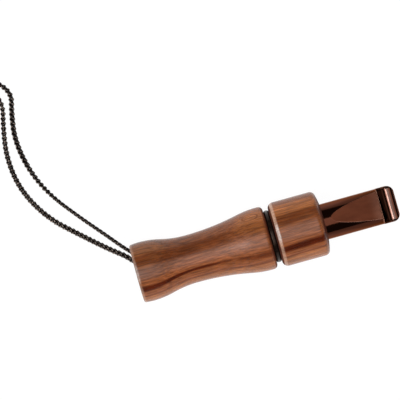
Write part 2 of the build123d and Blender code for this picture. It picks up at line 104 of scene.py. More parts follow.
class NodeBench:
    """Node tree of one finish, with a short call for each kind of node it needs."""

    def __init__(self, name: str) -> None:
        """Start a material with a plain surface shader.

        Args:
            name: Name of the material.
        """
        self.material = bpy.data.materials.new(name)
        self.material.use_nodes = True
        self.tree = self.material.node_tree
        self.surface = self.tree.nodes["Principled BSDF"]

    def add(self, kind: str, *values: Feed, **settings: str | int) -> bpy.types.Node:
        """Add one node to the tree.

        Args:
            kind: Type of the node, without the prefix that all share.
            values: What its inputs are fed with, in their order.
            settings: Properties of the node and their values.

        Returns:
            The new node.
        """
        node = self.tree.nodes.new("ShaderNode" + kind)
        for name, value in settings.items():
            setattr(node, name, value)
        for socket, value in zip(node.inputs, values):
            self.feed(socket, value)
        return node

    def feed(self, socket: Socket, value: Feed) -> None:
        """Link an input to an output, or set its own value.

        Args:
            socket: Input to feed.
            value: Output of another node, or a plain value.
        """
        if isinstance(value, bpy.types.NodeSocket):
            self.tree.links.new(value, socket)
        else:
            socket.default_value = value

    def set(self, **values: Feed) -> None:
        """Feed inputs of the surface shader.

        Args:
            values: Inputs by name, with underscores for spaces.
        """
        for name, value in values.items():
            if isinstance(value, tuple):
                value = (*value, 1.0)
            self.feed(self.surface.inputs[name.replace("_", " ")], value)

    def math(self, operation: str, *values: Feed) -> Socket:
        """Work out one number from up to three."""
        return self.add("Math", *values, operation=operation).outputs[0]

    def times(self, first: Socket, *others: Feed) -> Socket:
        """Multiply a number by others in turn."""
        return reduce(lambda product, other: self.math("MULTIPLY", product, other), others, first)

    def off(self, value: Socket, middle: float) -> Socket:
        """Measure how far a number lies from a middle, on either side."""
        return self.math("ABSOLUTE", self.math("SUBTRACT", value, middle))

    def vector(self, operation: str, *values: Feed) -> bpy.types.Node:
        """Work on up to three vectors."""
        return self.add("VectorMath", *values, operation=operation)

    def place(self) -> Socket:
        """Give the place on the call in millimetres, as station, across and up from the axis."""
        here = self.add("TexCoord").outputs["Object"]
        return self.vector("MULTIPLY_ADD", here, (1 / MM,) * 3, (-BELL_X, 0.0, -AXIS_HEIGHT)).outputs[0]

    def facing(self) -> Socket:
        """Give the direction that the surface faces, as the piece itself sees it."""
        return self.add("TexCoord").outputs["Normal"]

    def split(self, vector: Socket) -> list[Socket]:
        """Take a vector apart into its three parts."""
        return list(self.add("SeparateXYZ", vector).outputs)

    def stretch(self, vector: Socket, scale: Triple) -> Socket:
        """Scale the three parts of a vector, each by a factor of its own."""
        return self.vector("MULTIPLY", vector, scale).outputs[0]

    def measure(self, vector: Socket, direction: Feed) -> Socket:
        """Measure a vector along a direction."""
        return self.vector("DOT_PRODUCT", vector, direction).outputs["Value"]

    def noise(self, here: Socket, grain: Grain) -> Socket:
        """Draw cloudy noise from 0 to 1."""
        at = self.stretch(here, grain.clouds)
        return self.add("TexNoise", at, 0.0, 1.0, grain.layers, grain.strength).outputs[0]

    def layers(self, depth: Socket, grain: Grain) -> Socket:
        """Draw noise from 0 to 1 that changes with one number only, as layers do."""
        values = ((0.0, 0.0, 0.0), self.times(depth, grain.clouds[0]), 1.0, grain.layers, grain.strength)
        return self.add("TexNoise", *values, noise_dimensions="1D").outputs[0]

    def ease(self, value: Socket, low: float, high: float, start: float = 0.0, end: float = 1.0) -> Socket:
        """Ease from a start level at a low number to an end level at a high one."""
        node = self.add("MapRange", value, low, high, start, end, interpolation_type="SMOOTHSTEP")
        return node.outputs[0]

    def stripe(self, value: Socket, middle: float, core: float, edge: float) -> Socket:
        """Mark a stripe that is full up to one half width and has gone at another."""
        return self.ease(self.off(value, middle), core, edge, 1.0, 0.0)

    def between(self, value: Socket, rise: Span, fall: Span) -> Socket:
        """Mark a stretch that rises softly from 0 to 1 and falls softly back."""
        return self.times(self.ease(value, *rise), self.ease(value, *fall, 1.0, 0.0))

    def mix(self, share: Feed, first: Feed, second: Feed, blend: str = "MIX") -> Socket:
        """Mix two colours.

        Args:
            share: Share of the second colour.
            first: First colour.
            second: Second colour, or a level of grey.
            blend: Way of mixing.

        Returns:
            The mixed colour.
        """
        node = self.add("Mix", share, data_type="RGBA", blend_type=blend)
        for socket, value in ((node.inputs[6], first), (node.inputs[7], second)):
            self.feed(socket, (*value, 1.0) if isinstance(value, tuple) else value)
        return node.outputs[2]

    def ramp(self, value: Socket, stops: Sequence[tuple[float, Colour]]) -> Socket:
        """Give a colour for a number.

        Args:
            value: Number from 0 to 1.
            stops: Numbers and their colours, in order.

        Returns:
            The colour.
        """
        node = self.add("ValToRGB", value)
        entries = node.color_ramp.elements
        while len(entries) < len(stops):
            entries.new(0.5)
        for entry, (spot, colour) in zip(entries, stops):
            entry.position = spot
            entry.color = (*colour, 1.0)
        return node.outputs[0]

    def eased_edges(self, radius: float) -> Socket:
        """Give the way that the surface faces with its edges eased to a radius, in millimetres."""
        return self.add("Bevel", radius * MM, samples=8).outputs[0]

    def painted_glint(self, eased: Socket, limits: Easing) -> Socket:
        """Mark the sharp edges, where the eased surface faces another way than the mesh does, for a painted
        highlight.
        """
        mesh_facing = self.add("NewGeometry").outputs["Normal"]
        return self.ease(self.measure(eased, mesh_facing), *limits)

    def bump(self, height: Socket, depth: float, facing: Socket | None = None) -> None:
        """Raise the surface a little by a number.

        Args:
            height: Number from 0 to 1.
            depth: Height that 1 stands for, in millimetres.
            facing: Direction that the surface faces, where it isn't the mesh's own.
        """
        node = self.add("Bump", 1.0, depth * MM)
        self.feed(node.inputs["Height"], height)
        if facing is not None:
            self.feed(node.inputs["Normal"], facing)
        self.feed(self.surface.inputs["Normal"], node.outputs[0])


class Finish(Protocol):
    """Anything that can make the material of a piece."""

    def material(self) -> bpy.types.Material:
        """Make the material."""


@dataclass(frozen=True)
class WoodSpot:
    """Node tree of the wood, with the measures that each step of its finish reads."""

    bench: NodeBench
    here: Socket
    along: Socket
    swing: Socket
    level: Socket


@dataclass(frozen=True)
class TurnedWood:
    """Oiled hardwood turned along its fibres, with slanting colour layers and a dark heart streak."""

    golden: Colour = (0.42, 0.140, 0.042)
    amber: Colour = (0.34, 0.100, 0.033)
    tawny: Colour = (0.29, 0.088, 0.029)
    russet: Colour = (0.19, 0.050, 0.014)
    umber: Colour = (0.16, 0.040, 0.011)
    # heart is the colour of the streak, and also of the painted shade on the ends.
    heart: Colour = (0.088, 0.011, 0.001)
    # glint_peach and glint_white are painted highlight: the lamp's glint on the bell's rounded rim and the
    # collar's front edge, whiter on the top; the peach also stands for paler end grain there.
    glint_peach: Colour = (0.76, 0.46, 0.32)
    glint_white: Colour = (0.95, 0.80, 0.72)
    fibres: Grain = Grain((0.20, 3.6, 3.6), 4.0, 0.62)
    fibre_tone: Easing = (0.28, 0.72, 0.68, 1.30)
    growth: Grain = Grain((0.11, 1.7, 1.7), 2.0, 0.6)
    growth_tone: Easing = (0.25, 0.75, 0.60, 1.40)
    pores: Grain = Grain((0.45, 7.0, 7.0), 1.0)
    pore_limits: Span = (0.62, 0.74)
    pore_share: float = 0.5
    relief: float = 0.012
    gloss: Easing = (0.3, 0.7, 0.30, 0.22)
    glint_gloss: float = -0.12
    end_dullness: float = 0.75
    shine: float = 0.28
    layer_slant: Triple = (-0.0237, 0.595, 0.804)
    layer_reach: float = 14.0
    layer_wander: Grain = Grain((0.035, 0.11, 0.11))
    layer_sway: float = 1.2
    layer_lines: Grain = Grain((1.1, 1.1, 1.1), 4.0, 0.6)
    line_share: Easing = (0.45, 0.70, 0.0, 0.45)
    bell_run: Easing = (18.0, 34.0, 1.0, 0.0)
    bell_depth: Span = (6.0, 9.0)
    bell_shade: float = 0.66
    figure_middle: Triple = (47.6, 9.3, 0.0)
    figure_half: Span = (2.5, 0.95)
    figure_sway: float = 0.6
    figure_top: Span = (2.0, 4.0)
    figure_fade: Easing = (0.8, 3.0, 1.0, 0.0)
    figure_line: Triple = (1.15, 0.06, 0.22)
    figure_ink: float = 0.6
    smoke_slant: Triple = (0.0, 0.94, -0.336)
    smoke_band: Triple = (0.8, 1.4, 3.6)
    smoke_thin: tuple[Span, Span] = ((32.0, 40.0), (50.0, 55.0))
    smoke_loss: float = -0.5
    smoke_patches: Grain = Grain((0.06, 0.5, 0.5), 3.0)
    smoke_share: Easing = (0.3, 0.62, 0.62, 0.98)
    streak_depth: float = 3.84
    streak_sway: float = 0.35
    streak_waist: float = 25.0
    streak_half: Easing = (3.0, 26.0, 0.50, 1.28)
    streak_edge: Easing = (0.45, 1.5, 1.0, 0.0)
    streak_thin: tuple[Span, Span] = ((26.0, 34.0), (53.0, 54.0))
    streak_patches: Grain = Grain((0.09, 0.8, 0.8), 3.0)
    streak_loss: Easing = (0.3, 0.6, -0.75, -0.35)
    # Where the painted highlight lies: the bell's rim and the collar's front edge, less on one side, broken
    # into flecks and whiter on the top.
    rim_edge: Easing = (0.4, 1.3, 0.5, 0.0)
    collar_edge: tuple[Span, Span] = ((55.8, 56.2), (56.75, 57.45))
    collar_side: Easing = (-6.5, -3.0, 0.55, 1.0)
    glint_top: Triple = (0.6, 1.2, 5.0)
    flecks: Grain = Grain((0.8, 1.5, 1.5))
    fleck_share: Easing = (0.35, 0.62, 0.6, 1.0)
    # Painted shade: the barrel's shoulder by the joint, the collar's front face and its back end are
    # darkened in the heart colour.
    shaded_ends: tuple[tuple[Span, Span], ...] = (
        ((51.9, 53.1), (53.7, 54.0)),
        ((54.9, 55.2), (55.8, 56.1)),
        ((73.5, 74.7), (75.3, 75.6)),
    )
    end_shade_share: float = 0.85

    def material(self) -> bpy.types.Material:
        """Make the wood.

        Returns:
            Material with the grain running along the call.
        """
        bench = NodeBench("turned_wood")
        here = bench.place()
        along, across, _ = bench.split(here)
        wander = bench.noise(here, self.layer_wander)
        swing = bench.math("MULTIPLY_ADD", wander, self.layer_sway, -self.layer_sway / 2)
        spot = WoodSpot(bench, here, along, swing, bench.measure(here, self.layer_slant))
        colour = self.layer_colour(spot)
        for step in (self.figure, self.smoke, self.streak):
            colour = step(spot, colour)
        fibres = bench.noise(here, self.fibres)
        growth = bench.noise(here, self.growth)
        tone = bench.times(bench.ease(fibres, *self.fibre_tone), bench.ease(growth, *self.growth_tone))
        colour = bench.mix(1.0, colour, tone, "MULTIPLY")
        pits = bench.ease(bench.noise(here, self.pores), *self.pore_limits)
        colour = bench.mix(bench.times(pits, self.pore_share), colour, self.umber)
        # Painted highlight on the rim and the collar's front edge, with a lower roughness there.
        rim_glint = self.glinting_edges(spot)
        # Painted shade on the barrel's shoulder and the collar's ends.
        ends = self.painted_end_shade(spot)
        # Colour of the painted highlight: peach, turning white on the top.
        painted_glint = bench.mix(bench.stripe(across, *self.glint_top), self.glint_peach, self.glint_white)
        # Lay the painted highlight on the edges, then the painted shade of the ends in the heart colour.
        colour = bench.mix(ends, bench.mix(rim_glint, colour, painted_glint), self.heart)
        bench.bump(bench.math("SUBTRACT", bench.times(fibres, 0.5), pits), self.relief)
        gloss = bench.math("MULTIPLY_ADD", rim_glint, self.glint_gloss, bench.ease(fibres, *self.gloss))
        gloss = bench.math("MULTIPLY_ADD", ends, self.end_dullness, gloss)
        bench.set(Base_Color=colour, Roughness=gloss, Specular_IOR_Level=self.shine)
        return bench.material

    def layer_colour(self, spot: WoodSpot) -> Socket:
        """Colour the growth layers by their depth, darker on the upper side of the bell.

        Args:
            spot: Node tree and measures of the wood.

        Returns:
            Colour of the layers.
        """
        bench = spot.bench
        stops = (
            (-14.0, self.amber),
            (-5.0, self.golden),
            (-0.8, self.golden),
            (0.1, self.russet),
            (1.1, self.amber),
            (2.4, self.tawny),
            (5.3, self.amber),
            (7.2, self.tawny),
            (9.6, self.tawny),
            (10.6, self.golden),
        )
        depth = bench.math("ADD", spot.level, spot.swing)
        share = bench.math("MULTIPLY_ADD", depth, 0.5 / self.layer_reach, 0.5)
        broad = bench.ramp(share, [(0.5 + 0.5 * at / self.layer_reach, colour) for at, colour in stops])
        lines = bench.ease(bench.layers(depth, self.layer_lines), *self.line_share)
        bell = bench.ease(spot.along, *self.bell_run)
        shaded = bench.times(bell, bench.ease(spot.level, *self.bell_depth))
        tone = bench.math("MULTIPLY_ADD", shaded, self.bell_shade - 1.0, 1.0)
        return bench.mix(1.0, bench.mix(lines, broad, self.russet), tone, "MULTIPLY")

    def figure(self, spot: WoodSpot, colour: Socket) -> Socket:
        """Draw the pale oval figure near the barrel's shoulder.

        Args:
            spot: Node tree and measures of the wood.
            colour: Colour so far.

        Returns:
            Colour with the figure.
        """
        bench = spot.bench
        long, wide = self.figure_half
        away = bench.vector("SUBTRACT", spot.here, self.figure_middle).outputs[0]
        oval = bench.vector("LENGTH", bench.stretch(away, (1 / long, 1 / wide, 0.0))).outputs["Value"]
        reach = bench.math("MULTIPLY_ADD", spot.swing, self.figure_sway, oval)
        upper = bench.ease(bench.split(spot.here)[2], *self.figure_top)
        pale = bench.times(bench.ease(reach, *self.figure_fade), upper)
        line = bench.times(bench.stripe(reach, *self.figure_line), upper, self.figure_ink)
        return bench.mix(line, bench.mix(pale, colour, self.golden), self.umber)

    def smoke(self, spot: WoodSpot, colour: Socket) -> Socket:
        """Darken the broad smoky band beside the top, thinner before the barrel's shoulder.

        Args:
            spot: Node tree and measures of the wood.
            colour: Colour so far.

        Returns:
            Colour with the band.
        """
        bench = spot.bench
        depth = bench.math("ADD", bench.measure(spot.here, self.smoke_slant), spot.swing)
        band = bench.stripe(depth, *self.smoke_band)
        thinned = bench.between(spot.along, *self.smoke_thin)
        strength = bench.math("MULTIPLY_ADD", thinned, self.smoke_loss, 1.0)
        patches = bench.ease(bench.noise(spot.here, self.smoke_patches), *self.smoke_share)
        return bench.mix(bench.times(band, strength, patches), colour, self.umber)

    def streak(self, spot: WoodSpot, colour: Socket) -> Socket:
        """Lay in the dark heart streak, thin at the waist and broad at the ends.

        Args:
            spot: Node tree and measures of the wood.
            colour: Colour so far.

        Returns:
            Colour with the streak.
        """
        bench = spot.bench
        depth = bench.math("MULTIPLY_ADD", spot.swing, self.streak_sway, spot.level)
        half = bench.ease(bench.off(spot.along, self.streak_waist), *self.streak_half)
        reach = bench.math("DIVIDE", bench.off(depth, self.streak_depth), half)
        band = bench.ease(reach, *self.streak_edge)
        thinned = bench.between(spot.along, *self.streak_thin)
        loss = bench.ease(bench.noise(spot.here, self.streak_patches), *self.streak_loss)
        strength = bench.math("MULTIPLY_ADD", thinned, loss, 1.0)
        return bench.mix(bench.times(band, strength), colour, self.heart)

    def glinting_edges(self, spot: WoodSpot) -> Socket:
        """Mark the bell's rim and the collar's front edge, where the lamp's highlight on the rounded edges
        is painted in.

        Args:
            spot: Node tree and measures of the wood.

        Returns:
            1 where the highlight is painted and 0 away from it.
        """
        bench = spot.bench
        rim = bench.ease(spot.along, *self.rim_edge)
        side = bench.ease(bench.split(spot.here)[1], *self.collar_side)
        front = bench.times(bench.between(spot.along, *self.collar_edge), side)
        patchy = bench.ease(bench.noise(spot.here, self.flecks), *self.fleck_share)
        return bench.times(bench.math("MAXIMUM", rim, front), patchy)

    def painted_end_shade(self, spot: WoodSpot) -> Socket:
        """Mark the barrel's shoulder by the joint and the collar's two end faces, where shade is painted
        dark and the surface made dull.

        Args:
            spot: Node tree and measures of the wood.

        Returns:
            Share of the painted shade.
        """
        bench = spot.bench
        shares = [bench.between(spot.along, *edge) for edge in self.shaded_ends]
        most = reduce(lambda share, other: bench.math("MAXIMUM", share, other), shares)
        return bench.times(most, self.end_shade_share)


@dataclass(frozen=True)
class PolishedResin:
    """Dark brown resin, buffed to a gloss on the round and finely planed on the slopes."""

    round_colour: Colour = (0.060, 0.019, 0.011)
    slope_colour: Colour = (0.101, 0.030, 0.0152)
    cloud_colour: Colour = (0.040, 0.011, 0.006)
    # Painted reflection: the stem's flanks get a lighter reflectance than its round top, so the floor they
    # mirror shows brighter brown there.
    flank_reflection_colour: Colour = (0.138, 0.050, 0.034)
    # Painted highlight: edge_colour lightens the sharp edges as a thin highlight line; it also lightens the
    # slopes towards the groove.
    edge_colour: Colour = (0.300, 0.150, 0.105)
    lip_colour: Colour = (0.074, 0.027, 0.017)
    # Painted highlight: the lip's crest has a paler, less red reflectance where the lamp's highlight line
    # falls, so that line shows whiter.
    crest_highlight_colour: Colour = (0.104, 0.066, 0.055)
    # Painted shade: the groove between the slopes and the lip is laid near black.
    groove_shade_colour: Colour = (0.012, 0.004, 0.002)
    sheen_colour: Colour = (0.76, 0.54, 0.46)
    slope_turn: float = 7.0
    slope_lean: Triple = (0.134, 0.02, 0.05)
    slope_side: Easing = (0.03, 0.08, 1.0, 0.0)
    slope_end: Span = (96.95, 97.15)
    slope_light: Easing = (92.45, 96.95, 0.0, 0.24)
    flank_start: Easing = (78.0, 95.0, 0.68, 0.84)
    flank_fade: Span = (0.0, 0.22)
    lip_start: Span = (98.9, 99.3)
    crest: Triple = (101.1, 0.45, 0.75)
    haze: Grain = Grain((0.12, 0.3, 0.3), 3.0)
    haze_share: Easing = (0.35, 0.75, 0.0, 0.4)
    lines: Grain = Grain((0.15, 9.0, 9.0))
    relief: float = 0.006
    edge_round: float = 0.26
    edge_glint: Easing = (0.970, 0.998, 1.0, 0.0)
    round_gloss: float = 0.10
    planed_gloss: float = 0.24
    line_gloss: float = 0.06

    def material(self) -> bpy.types.Material:
        """Make the resin.

        Returns:
            Material that is satin on the planed slopes and glossy elsewhere.
        """
        bench = NodeBench("polished_resin")
        here = bench.place()
        along = bench.split(here)[0]
        facing = bench.facing()
        lean, sideways, _ = bench.split(facing)
        turn = math.radians(self.slope_turn)
        side = bench.measure(facing, (0.0, math.cos(turn), -math.sin(turn)))
        planed = bench.times(
            bench.stripe(lean, *self.slope_lean),
            bench.ease(bench.math("ABSOLUTE", side), *self.slope_side),
            bench.ease(along, *self.slope_end, 1.0, 0.0),
        )
        sideways = bench.math("ABSOLUTE", sideways)
        beyond = bench.math("SUBTRACT", sideways, bench.ease(along, *self.flank_start))
        flank = bench.ease(beyond, *self.flank_fade)
        lines = bench.noise(here, self.lines)
        eased = bench.eased_edges(self.edge_round)
        slope = bench.mix(bench.ease(along, *self.slope_light), self.slope_colour, self.edge_colour)
        # painted highlight stripe on the lip's crest
        lip = bench.mix(bench.stripe(along, *self.crest), self.lip_colour, self.crest_highlight_colour)
        haze = bench.ease(bench.noise(here, self.haze), *self.haze_share)
        # painted reflection on the flanks
        colour = bench.mix(flank, self.round_colour, self.flank_reflection_colour)
        for share, tone in (
            (planed, slope),
            # painted shade in the groove
            (bench.ease(along, *self.slope_end), self.groove_shade_colour),
            (bench.ease(along, *self.lip_start), lip),
            (haze, self.cloud_colour),
            # painted highlight along the sharp edges
            (bench.painted_glint(eased, self.edge_glint), self.edge_colour),
        ):
            colour = bench.mix(share, colour, tone)
        gloss = bench.math("MULTIPLY_ADD", planed, self.planed_gloss, self.round_gloss)
        gloss = bench.math("MULTIPLY_ADD", lines, self.line_gloss, gloss)
        bench.bump(bench.times(lines, planed), self.relief, eased)
        bench.set(Base_Color=colour, Metallic=1.0, Roughness=gloss, Specular_Tint=self.sheen_colour)
        return bench.material


@dataclass(frozen=True)
class PatchedFinish:
    """Finish of one colour that passes into another in patches, over a fine grain."""

    name: str
    colour: Colour
    patch_colour: Colour
    patches: Grain
    patch_share: Easing
    gloss: Easing
    grain: Grain
    relief: float
    metal: float = 0.0
    shine: float = 0.5
    tint: Colour = (1.0, 1.0, 1.0)

    def material(self) -> bpy.types.Material:
        """Make the finish.

        Returns:
            Material with the patches and the grain.
        """
        bench = NodeBench(self.name)
        here = bench.place()
        patches = bench.noise(here, self.patches)
        share = bench.ease(patches, *self.patch_share)
        bench.bump(bench.noise(here, self.grain), self.relief)
        bench.set(Base_Color=bench.mix(share, self.colour, self.patch_colour))
        bench.set(Roughness=bench.ease(patches, *self.gloss), Metallic=self.metal)
        bench.set(Specular_IOR_Level=self.shine, Specular_Tint=self.tint)
        return bench.material


@dataclass(frozen=True)
class BlackRubber(PatchedFinish):
    """Smooth black rubber of the sealing rings, with a faint warm bloom."""

    name: str = "black_rubber"
    colour: Colour = (0.008, 0.0045, 0.0032)
    patch_colour: Colour = (0.030, 0.017, 0.012)
    patches: Grain = Grain((0.5, 0.5, 0.5), 3.0)
    patch_share: Easing = (0.4, 0.75, 0.0, 0.5)
    gloss: Easing = (0.3, 0.7, 0.18, 0.26)
    grain: Grain = Grain((9.0, 9.0, 9.0))
    relief: float = 0.012
    shine: float = 0.25
    tint: Colour = (0.84, 0.60, 0.48)


@dataclass(frozen=True)
class DrawnBrass(PatchedFinish):
    """Drawn brass of the pin and the reed, with fine lines and a little tarnish."""

    name: str = "drawn_brass"
    colour: Colour = (0.78, 0.56, 0.24)
    patch_colour: Colour = (0.42, 0.27, 0.11)
    patches: Grain = Grain((0.6, 0.6, 0.6), 4.0)
    patch_share: Easing = (0.45, 0.75, 0.0, 0.7)
    gloss: Easing = (0.4, 0.7, 0.24, 0.42)
    grain: Grain = Grain((0.3, 12.0, 12.0))
    relief: float = 0.004
    metal: float = 1.0


@dataclass(frozen=True)
class MouldedPlastic(PatchedFinish):
    """Matt dark plastic of the tone board, scuffed, as it comes from a mould."""

    name: str = "moulded_plastic"
    colour: Colour = (0.075, 0.058, 0.045)
    patch_colour: Colour = (0.16, 0.13, 0.105)
    patches: Grain = Grain((0.8, 1.6, 1.6), 4.0, 0.6)
    patch_share: Easing = (0.5, 0.8, 0.0, 0.6)
    gloss: Easing = (0.3, 0.7, 0.45, 0.62)
    grain: Grain = Grain((14.0, 14.0, 14.0))
    relief: float = 0.01


@dataclass(frozen=True)
class CutCork:
    """Cut cork with pale cells and dark pits."""

    pale: Colour = (0.56, 0.36, 0.20)
    brown: Colour = (0.36, 0.20, 0.10)
    pit: Colour = (0.10, 0.05, 0.025)
    clouds: Grain = Grain((1.2, 1.2, 1.2), 3.0)
    cloud_limits: Span = (0.35, 0.65)
    cells: Grain = Grain((7.0, 7.0, 7.0))
    cell_share: Easing = (0.5, 0.8, 0.0, 0.5)
    pits: Grain = Grain((2.6, 2.6, 2.6), 1.0)
    pit_limits: Span = (0.62, 0.70)
    pit_share: float = 0.8
    relief: float = 0.04
    roughness: float = 0.85

    def material(self) -> bpy.types.Material:
        """Make the cork.

        Returns:
            Material of the reed wedge.
        """
        bench = NodeBench("cut_cork")
        here = bench.place()
        cells = bench.noise(here, self.cells)
        pits = bench.ease(bench.noise(here, self.pits), *self.pit_limits)
        clouds = bench.ease(bench.noise(here, self.clouds), *self.cloud_limits)
        colour = bench.mix(clouds, self.pale, self.brown)
        colour = bench.mix(bench.ease(cells, *self.cell_share), colour, self.brown)
        colour = bench.mix(bench.times(pits, self.pit_share), colour, self.pit)
        bench.bump(bench.math("SUBTRACT", cells, pits), self.relief)
        bench.set(Base_Color=colour, Roughness=self.roughness)
        return bench.material


@dataclass(frozen=True)
class WaxedBraid:
    """Dark waxed thread, with fine fibres along each strand and a painted highlight on the strand crowns
    that face one side.
    """

    dark: Colour = (0.005, 0.0025, 0.0018)
    # Colour of the painted highlight on the strand crowns.
    painted_glint: Colour = (0.46, 0.36, 0.30)
    fibres: Grain = Grain((2.1, 9.0, 1.0), 3.0, 0.6)
    fibre_glint: Easing = (0.35, 0.6, 0.5, 1.0)
    patches: Grain = Grain((0.2, 0.2, 0.2))
    patch_glint: Easing = (0.3, 0.6, 0.5, 1.0)
    crown: Span = (-0.2, 0.8)
    glint_side: Triple = (-0.66, -0.66, 0.35)
    glint_side_limits: Span = (0.22, 0.70)
    gloss: Easing = (0.3, 0.7, 0.34, 0.50)
    shine: float = 0.12
    relief: float = 0.05

    def material(self) -> bpy.types.Material:
        """Make the thread.

        Returns:
            Material of the neck cord and its knot.
        """
        bench = NodeBench("waxed_braid")
        strand = bench.add("UVMap", uv_map="strand").outputs[0]
        fibres = bench.noise(strand, self.fibres)
        crossing = bench.math("SINE", bench.times(bench.split(strand)[0], 2 * math.pi))
        # Painted highlight: on each crossing's crown, broken by fibres and patches, on the side that faces
        # the lamp.
        crown_glint = bench.times(
            bench.ease(crossing, *self.crown),
            bench.ease(fibres, *self.fibre_glint),
            bench.ease(bench.noise(bench.place(), self.patches), *self.patch_glint),
            bench.ease(bench.measure(bench.facing(), self.glint_side), *self.glint_side_limits),
        )
        bench.bump(fibres, self.relief)
        bench.set(Base_Color=bench.mix(crown_glint, self.dark, self.painted_glint), Specular_IOR_Level=self.shine)
        bench.set(Roughness=bench.ease(fibres, *self.gloss))
        return bench.material


@dataclass(frozen=True)
class WovenStrap:
    """Black woven strap, with rows of thread across it."""

    black: Colour = (0.014, 0.013, 0.013)
    lint: Colour = (0.07, 0.066, 0.062)
    warp: float = 16.0
    weft: float = 60.0
    fluff: Grain = Grain((3.0, 3.0, 3.0), 3.0)
    fluff_share: Easing = (0.4, 0.8, 0.1, 0.8)
    relief: float = 0.06
    roughness: float = 0.8
    sheen: float = 0.3
    sheen_roughness: float = 0.4

    def material(self) -> bpy.types.Material:
        """Make the strap.

        Returns:
            Material of the cord's tie.
        """
        bench = NodeBench("woven_strap")
        along, across, _ = bench.split(bench.add("UVMap", uv_map="strand").outputs[0])
        warp = bench.math("SINE", bench.times(along, self.warp))
        weft = bench.math("SINE", bench.times(across, self.weft))
        weave = bench.math("MULTIPLY_ADD", bench.times(warp, weft), 0.5, 0.5)
        fluff = bench.ease(bench.noise(bench.place(), self.fluff), *self.fluff_share)
        bench.bump(weave, self.relief)
        bench.set(Base_Color=bench.mix(bench.times(weave, fluff), self.black, self.lint))
        bench.set(Roughness=self.roughness, Sheen_Weight=self.sheen, Sheen_Roughness=self.sheen_roughness)
        return bench.material


def dress(nodes: Nodes, *pairs: tuple[Finish, Sequence[str]]) -> None:
    """Give nodes of the frame their finishes.

    Args:
        nodes: Nodes of the frame by name.
        pairs: Finishes, each with the nodes that share it.
    """
    for finish, names in pairs:
        material = finish.material()
        for name in names:
            for holder in nodes[name].material_slots:
                holder.material = material
            log.info("dressed %s in %s", name, material.name)


@dataclass
class MeshStock:
    """Points, faces and strand measures of a piece while it is being made."""

    points: list[np.ndarray] = field(default_factory=list)
    faces: list[tuple[int, ...]] = field(default_factory=list)
    strands: list[Span] = field(default_factory=list)
    count: int = 0

    def tube(self, rings: np.ndarray, lengths: np.ndarray, closed: int = 2) -> None:
        """Join a row of rings into a tube with flat ends.

        Args:
            rings: Points of the rings, ring by ring.
            lengths: Measure along the tube at each ring.
            closed: Number of ends that are closed, from the first ring.
        """
        rows, sides, _ = rings.shape
        base = self.count
        self.points.append(rings.reshape(-1, 3))
        self.count += rows * sides
        for row in range(rows - 1):
            for side in range(sides):
                near = base + row * sides
                far = near + sides
                after = (side + 1) % sides
                self.faces.append((near + side, near + after, far + after, far + side))
                for step, turn in ((0, side), (0, side + 1), (1, side + 1), (1, side)):
                    self.strands.append((float(lengths[row + step]), turn / sides))
        for row, order in ((0, -1), (rows - 1, 1))[:closed]:
            cap = [base + row * sides + side for side in range(sides)][::order]
            self.faces.append(tuple(cap))
            self.strands.extend((float(lengths[row]), 0.0) for _ in cap)

    def piece(self, name: str, finish: Finish) -> bpy.types.Object:
        """Turn the stock into an object of the scene.

        Args:
            name: Name of the piece.
            finish: Finish of the piece.

        Returns:
            The new object, smooth shaded.
        """
        mesh = bpy.data.meshes.new(name)
        mesh.from_pydata(np.concatenate(self.points) * MM, [], self.faces)
        layer = mesh.uv_layers.new(name="strand")
        layer.data.foreach_set("uv", np.array(self.strands, np.float32).ravel())
        mesh.polygons.foreach_set("use_smooth", [True] * len(mesh.polygons))
        mesh.materials.append(finish.material())
        piece = bpy.data.objects.new(name, mesh)
        bpy.context.scene.collection.objects.link(piece)
        return piece


def unit(rows: np.ndarray) -> np.ndarray:
    """Scale each vector in a table to length one."""
    return rows / np.linalg.norm(rows, axis=-1, keepdims=True)


def run_lengths(line: np.ndarray) -> np.ndarray:
    """Measure the length along a line up to each of its points."""
    return np.concatenate(([0.0], np.cumsum(np.linalg.norm(np.diff(line, axis=0), axis=1))))


def even_steps(line: np.ndarray, step: float) -> tuple[np.ndarray, np.ndarray]:
    """Read a line at even steps.

    Args:
        line: Points of the line.
        step: Distance between the steps.

    Returns:
        The points at even steps, and the length along the line at each.
    """
    reach = run_lengths(line)
    lengths = np.linspace(0.0, reach[-1], round(reach[-1] / step) + 1)
    points = np.stack([np.interp(lengths, reach, line[:, axis]) for axis in range(3)], axis=1)
    return points, lengths


